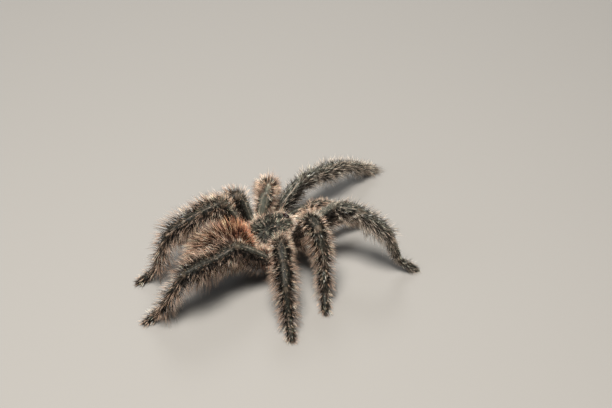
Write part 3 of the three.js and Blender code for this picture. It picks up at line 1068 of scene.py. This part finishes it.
SKIN_NODES = (
    [f"leg_{key}_{name}" for key in LEG_POSE for name in LEG_SEGMENTS]
    + [f"palp_{side}_{name}" for side in SIDE_SIGN for name in PALP_SEGMENTS]
    + [f"chelicera_{side}" for side in SIDE_SIGN]
    + [f"spinneret_{side}" for side in SIDE_SIGN]
    + ["sternum", "pedicel", "abdomen"]
)
finish_piece(skin_mesh, "skin", SKIN, SKIN_NODES)

# ---------------------------------------------------------------- shield

SHIELD_HALF_LENGTH = 10.9
SHIELD_HALF_WIDTH = 9.6
SHIELD_MARGIN = 17.3
SHIELD_RIM = 0.9
SHIELD_DOME = 3.9
HEAD_RISE = 1.1
FOVEA_AHEAD = -3.0
FOVEA_HALF = (1.7, 0.75)
FOVEA_DEPTH = 1.5
# The grooves' bearings from the fovea in degrees, and how deep and wide each is cut.
GROOVES = (38, 74, 104, 136, 162)
GROOVE_DEPTH = (0.85, 0.4, 0.4, 0.4, 0.3)
GROOVE_WIDTH = 0.75
EYES_AHEAD = 8.6
# What the bake map of the shield's coat spans, with a margin round the shield.
SHIELD_MAP = (2.1 * SHIELD_HALF_WIDTH + 4, 2.1 * SHIELD_HALF_LENGTH + 4)


def shield_half_width(ahead):
    along = np.clip(ahead / SHIELD_HALF_LENGTH, -1, 1)
    taper = np.where(along > 0, 1 - 0.2 * along * along, 1)
    return SHIELD_HALF_WIDTH * np.sqrt(1 - np.abs(along) ** 2.8) * taper


def shield_height(ahead, left):
    """Height of the shield's surface: dome, head, fovea and the grooves that run from it."""
    along = np.clip(ahead / SHIELD_HALF_LENGTH, -1, 1)
    share = np.clip(left / np.maximum(shield_half_width(ahead), TINY), -1, 1)
    lengthwise = np.sqrt(1 - np.abs(along) ** 3)
    crosswise = np.sqrt(1 - share * share)
    head = HEAD_RISE * smooth(-1, 7, ahead) * (1 - share * share)
    rise = (SHIELD_DOME * crosswise + head) * lengthwise
    out = np.hypot(ahead - FOVEA_AHEAD, left)
    pit = ((ahead - FOVEA_AHEAD) / FOVEA_HALF[1]) ** 2 + (left / FOVEA_HALF[0]) ** 2
    rise = rise - FOVEA_DEPTH * np.exp(-pit)
    bearing = np.arctan2(np.abs(left), ahead - FOVEA_AHEAD)
    for angle, depth in zip(GROOVES, GROOVE_DEPTH):
        off = out * np.sin(np.clip(bearing - math.radians(angle), -1.5, 1.5))
        reach = smooth(1.4, 3.2, out) * smooth(0.02, 0.35, 1 - share * share)
        rise = rise - depth * reach * np.exp(-(off / GROOVE_WIDTH) ** 2)
    return SHIELD_MARGIN + rise


def shield_place(points):
    """How far ahead and left of the shield's middle each point lies."""
    return -points[:, 1] - SHIELD_AHEAD, points[:, 0]


def build_shield():
    def rule(point):
        ahead = -point.y * SHIELD_HALF_LENGTH
        ring = math.sqrt(max(0.0, 1 - point.y * point.y))
        share = point.x / ring if ring > TINY else 0.0
        left = share * float(shield_half_width(ahead))
        if point.z > 0 and ring > TINY:
            height = float(shield_height(ahead, left))
        else:
            height = SHIELD_MARGIN + SHIELD_RIM * point.z
        return place(SHIELD_AHEAD + ahead, left, height)

    bm = bmesh.new()
    made = bmesh.ops.create_uvsphere(bm, u_segments=112, v_segments=84, radius=1)
    bmesh.ops.rotate(bm, verts=made["verts"], matrix=Matrix.Rotation(math.pi / 2, 3, "X"))
    for vert in made["verts"]:
        vert.co = rule(vert.co)
    return to_mesh(bm, "shield")


def shield_colour(ahead, left):
    share = left / np.maximum(shield_half_width(ahead), TINY)
    colour = mix(np.tile(CHARCOAL, (len(ahead), 1)), SLATE, 0.25 + 0.45 * smooth(0, 5, ahead))
    out = np.hypot(ahead - FOVEA_AHEAD, left)
    colour = mix(colour, SOOT, 0.8 * np.exp(-(out / 2.0) ** 2))
    return mix(colour, ROSE, smooth(0.88, 1.0, np.abs(share)) * 0.5)


def shield_coat(mesh):
    """Velvet that radiates from the fovea, and a bleached fringe round the margin."""
    rng = np.random.default_rng([SEED, 77])
    field = Field(mesh)
    ahead, left = shield_place(field.points)
    share = np.abs(left) / np.maximum(shield_half_width(ahead), TINY)
    upper = smooth(SHIELD_MARGIN + 0.1, SHIELD_MARGIN + 0.6, field.points[:, 2])
    eyes = np.hypot((ahead - EYES_AHEAD) / 1.3, left / 1.9)
    edge = np.maximum(share, np.abs(ahead) / SHIELD_HALF_LENGTH)
    inner = 0.81 - 0.09 * smooth(2, 8, ahead)
    batches = []
    # Flat velvet, stray bristles among it, and the fringe: how many to a square millimetre,
    # where they grow, their length and how steeply they stand.
    for density, weight, length, steep, fringe in (
        (9.0, upper * smooth(1.2, 1.7, eyes), 1.5, 20, False),
        (1.0, upper * smooth(1.6, 2.2, eyes), 2.4, 48, False),
        (12.0, smooth(inner, inner + 0.1, edge) * smooth(1.2, 1.6, eyes), 3.3, 42, True),
    ):
        roots, normals = field.scatter(rng, field.faces, weight, density)
        count = len(roots)
        out = roots - place(SHIELD_AHEAD + FOVEA_AHEAD, 0, 0)
        out[:, 2] = 0
        grain = unit(out + rng.normal(0, 0.25, out.shape))
        angle = steep + rng.normal(0, STEEP_SPREAD, count)
        lie = standing(rng, grain, normals, angle, ruffle=0.16)
        length = length * varied(rng, count)
        bend, bright, draw = locks(
            rng, roots, lie, grain * 0.2 - UP * 0.15, length, size=0.8, pull=0.35, uneven=0.45
        )
        root = shield_colour(*shield_place(roots)) * 0.18
        pale = mix(np.tile(ROSE, (count, 1)), STRAW, rng.random(count)) * TIP_LIGHT
        if fringe:
            tip = pale
        else:
            tip = mix(root, np.tile(ASH, (count, 1)), 1.5 * smooth(0.6, 0.95, draw))
            tip = mix(tip, pale, (rng.random(count) < (0.4 if steep > 40 else 0.03)) * 0.8)
        where = 0.5 + roots[:, :2] / SHIELD_MAP
        batches.append(hair_batch(
            roots, normals, lie, bend, length, rng.uniform(*VELVET_THICK, count),
            shaded(root, tip, 0.1, 0.7, bright), where, 3 if fringe else 2,
        ))
    return join_hair("coat_shield", batches)


shield_mesh = build_shield()
shield_points = read(shield_mesh.vertices, "co", 3)
paint(shield_mesh, shield_colour(*shield_place(shield_points)))
finish_piece(shield_coat(shield_mesh), "coat_shield", BRISTLES)
finish_piece(shield_mesh, "carapace_shield", SKIN, ["carapace"])

# ---------------------------------------------------------------- eyes, fangs and claws

MOUND_HALF = (1.95, 1.3, 1.45)
MOUND_RISE = 0.1
# The eyes of one side: left and ahead of the mound's middle, and the lens's two radii.
EYES = (
    (0.5, 0.25, 0.42, 0.42), (1.3, 0.72, 0.46, 0.34),
    (1.42, -0.35, 0.4, 0.3), (0.92, -0.55, 0.26, 0.22),
)


def mound_top(left, ahead):
    """Height of the mound's surface above the floor."""
    level = float(shield_height(np.float64(EYES_AHEAD), np.float64(0)))
    rest = 1 - (left / MOUND_HALF[0]) ** 2 - (ahead / MOUND_HALF[1]) ** 2
    return level + MOUND_RISE + MOUND_HALF[2] * math.sqrt(max(0.05, rest))


def build_mound():
    """The low polished knob in front of the shield that carries the eyes."""
    middle = place(SHIELD_AHEAD + EYES_AHEAD, 0, mound_top(0, 0) - MOUND_HALF[2])
    bm = bmesh.new()
    add_ball(bm, lambda p: middle + np.array([
        p.x * MOUND_HALF[0], p.y * MOUND_HALF[1], p.z * MOUND_HALF[2],
    ]), 36, 24)
    finish_piece(to_mesh(bm, "mound"), "eye_mound", FANG_GLOSS)


def build_eyes():
    """Eight lenses, each sunk into the mound for about half its depth."""
    bm = bmesh.new()
    for left, ahead, wide, tall in EYES:
        for sign in (1, -1):
            middle = place(
                SHIELD_AHEAD + EYES_AHEAD + ahead, sign * left, mound_top(left, ahead)
            )
            outward = unit(place(ahead * 1.2, sign * left, 1.5))
            side = unit(np.cross(outward, place(1, 0, 0)))
            over = np.cross(side, outward)
            add_ball(bm, lambda p: middle + side * p.x * wide + over * p.y * tall
                     + outward * p.z * min(wide, tall) * 0.9, 24, 16)
    finish_piece(to_mesh(bm, "eyes"), "eyes", EYE_GLOSS, ["eye_tubercle"])


FANG_ROOT = (19.6, 6.6)
FANG_LENGTH = 6.2
FANG_SAG = 1.3
FANG_RADIUS = 0.82


def tusk(root, tip, sag, radius, sharp=0.75):
    """Rule for a ball that turns it into a curved, tapering point."""
    axis = tip - root
    side = unit(np.cross(axis, sag))
    across = unit(np.cross(side, axis))

    def rule(point):
        share = (point.z + 1) / 2
        ring = math.hypot(point.x, point.y)
        fill = min(1.0, ring * 2.4) / max(ring, TINY)
        thick = radius * (1 - share) ** sharp + radius * 0.06
        centre = root + axis * share + sag * math.sin(math.pi * share * 0.9)
        return centre + (side * point.x + across * point.y) * thick * fill
    return rule


def build_fangs():
    for side, sign in SIDE_SIGN.items():
        bm = bmesh.new()
        root = place(FANG_ROOT[0], sign * JAW_LEFT, FANG_ROOT[1])
        tip = place(FANG_ROOT[0] - FANG_LENGTH, sign * JAW_LEFT * 0.7, FANG_ROOT[1] - 0.9)
        add_ball(bm, tusk(root, tip, np.array([0, 0, -FANG_SAG]), FANG_RADIUS), 28, 30)
        finish_piece(to_mesh(bm, "fang"), "polished_fang_" + side, FANG_GLOSS,
                     ["fang_" + side])


CLAW_LENGTH = 1.5
CLAW_RADIUS = 0.17
CLAW_SPREAD = 0.45
CLAW_ARCH = 0.45
# Where claws leave the foot, back from its tip and above its middle, and their tips' height.
CLAW_ROOT = (0.3, 0.9)
CLAW_TIP_HEIGHT = 0.12


def build_claws():
    """Two small hooked claws at the tip of every foot, resting on the floor."""
    for key, parts in LEGS.items():
        foot = parts[-1]
        bm = bmesh.new()
        flat = unit(np.array([foot.axis[0], foot.axis[1], 0]))
        for sign in (1, -1):
            root = foot.end - foot.axis * CLAW_ROOT[0] + foot.above * CLAW_ROOT[1]
            root = root + foot.beside * CLAW_SPREAD * sign
            tip = root + flat * CLAW_LENGTH
            tip[2] = CLAW_TIP_HEIGHT
            add_ball(bm, tusk(root, tip, UP * CLAW_ARCH, CLAW_RADIUS, sharp=0.6), 10, 10)
        finish_piece(to_mesh(bm, "claws"), "claws_" + key, FANG_GLOSS)


build_mound()
build_eyes()
build_fangs()
build_claws()

# ---------------------------------------------------------------- stage

FLOOR_SIZE = 3.0
LIT_MIDDLE = place(0, 0, 15)
# Each lamp's azimuth and elevation in degrees, its distance and width in metres, its watts
# and its colour: a high soft key, a cool fill from behind and a rim from the far side.
LAMPS = {
    "key": (215, 74, 0.9, 0.35, 18.5, "#fffaf4"),
    "fill": (160, 30, 1.1, 0.6, 1.7, "#eef4ff"),
    "rim": (50, 40, 1.0, 0.4, 4, "#ffffff"),
}
SKY_STRENGTH = 0.12


def add_floor():
    """Matte painted board: pale and even, with no reflection to compete with the coat."""
    material = new_material("pale_matte_board")
    shader = add_node(
        material, "ShaderNodeBsdfPrincipled",
        {"Base Color": rgba("#868480"), "Roughness": 0.9, "IOR": 1.4},
    )
    set_surface(material, shader)
    bm = bmesh.new()
    bmesh.ops.create_grid(bm, x_segments=1, y_segments=1, size=FLOOR_SIZE)
    mesh = to_mesh(bm, "floor")
    mesh.materials.append(material)
    floor = bpy.data.objects.new("floor", mesh)
    floor.location.z = ORIGIN.z
    bpy.context.scene.collection.objects.link(floor)


def add_light(name, azimuth, elevation, distance, size, power, hex_colour):
    light = bpy.data.objects.new(name, bpy.data.lights.new(name, "AREA"))
    light.data.shape = "DISK"
    light.data.size = size
    light.data.energy = power
    light.data.color = linear(hex_colour)
    aim(light, world(LIT_MIDDLE), azimuth, elevation, distance)


def add_sky():
    sky = bpy.data.worlds.new("studio")
    sky.use_nodes = True
    background = sky.node_tree.nodes["Background"]
    background.inputs["Color"].default_value = rgba("#dfe3e6")
    background.inputs["Strength"].default_value = SKY_STRENGTH
    bpy.context.scene.world = sky


add_floor()
for lamp, settings in LAMPS.items():
    add_light(lamp, *settings)
add_sky()
bpy.context.scene.view_settings.view_transform = "Standard"
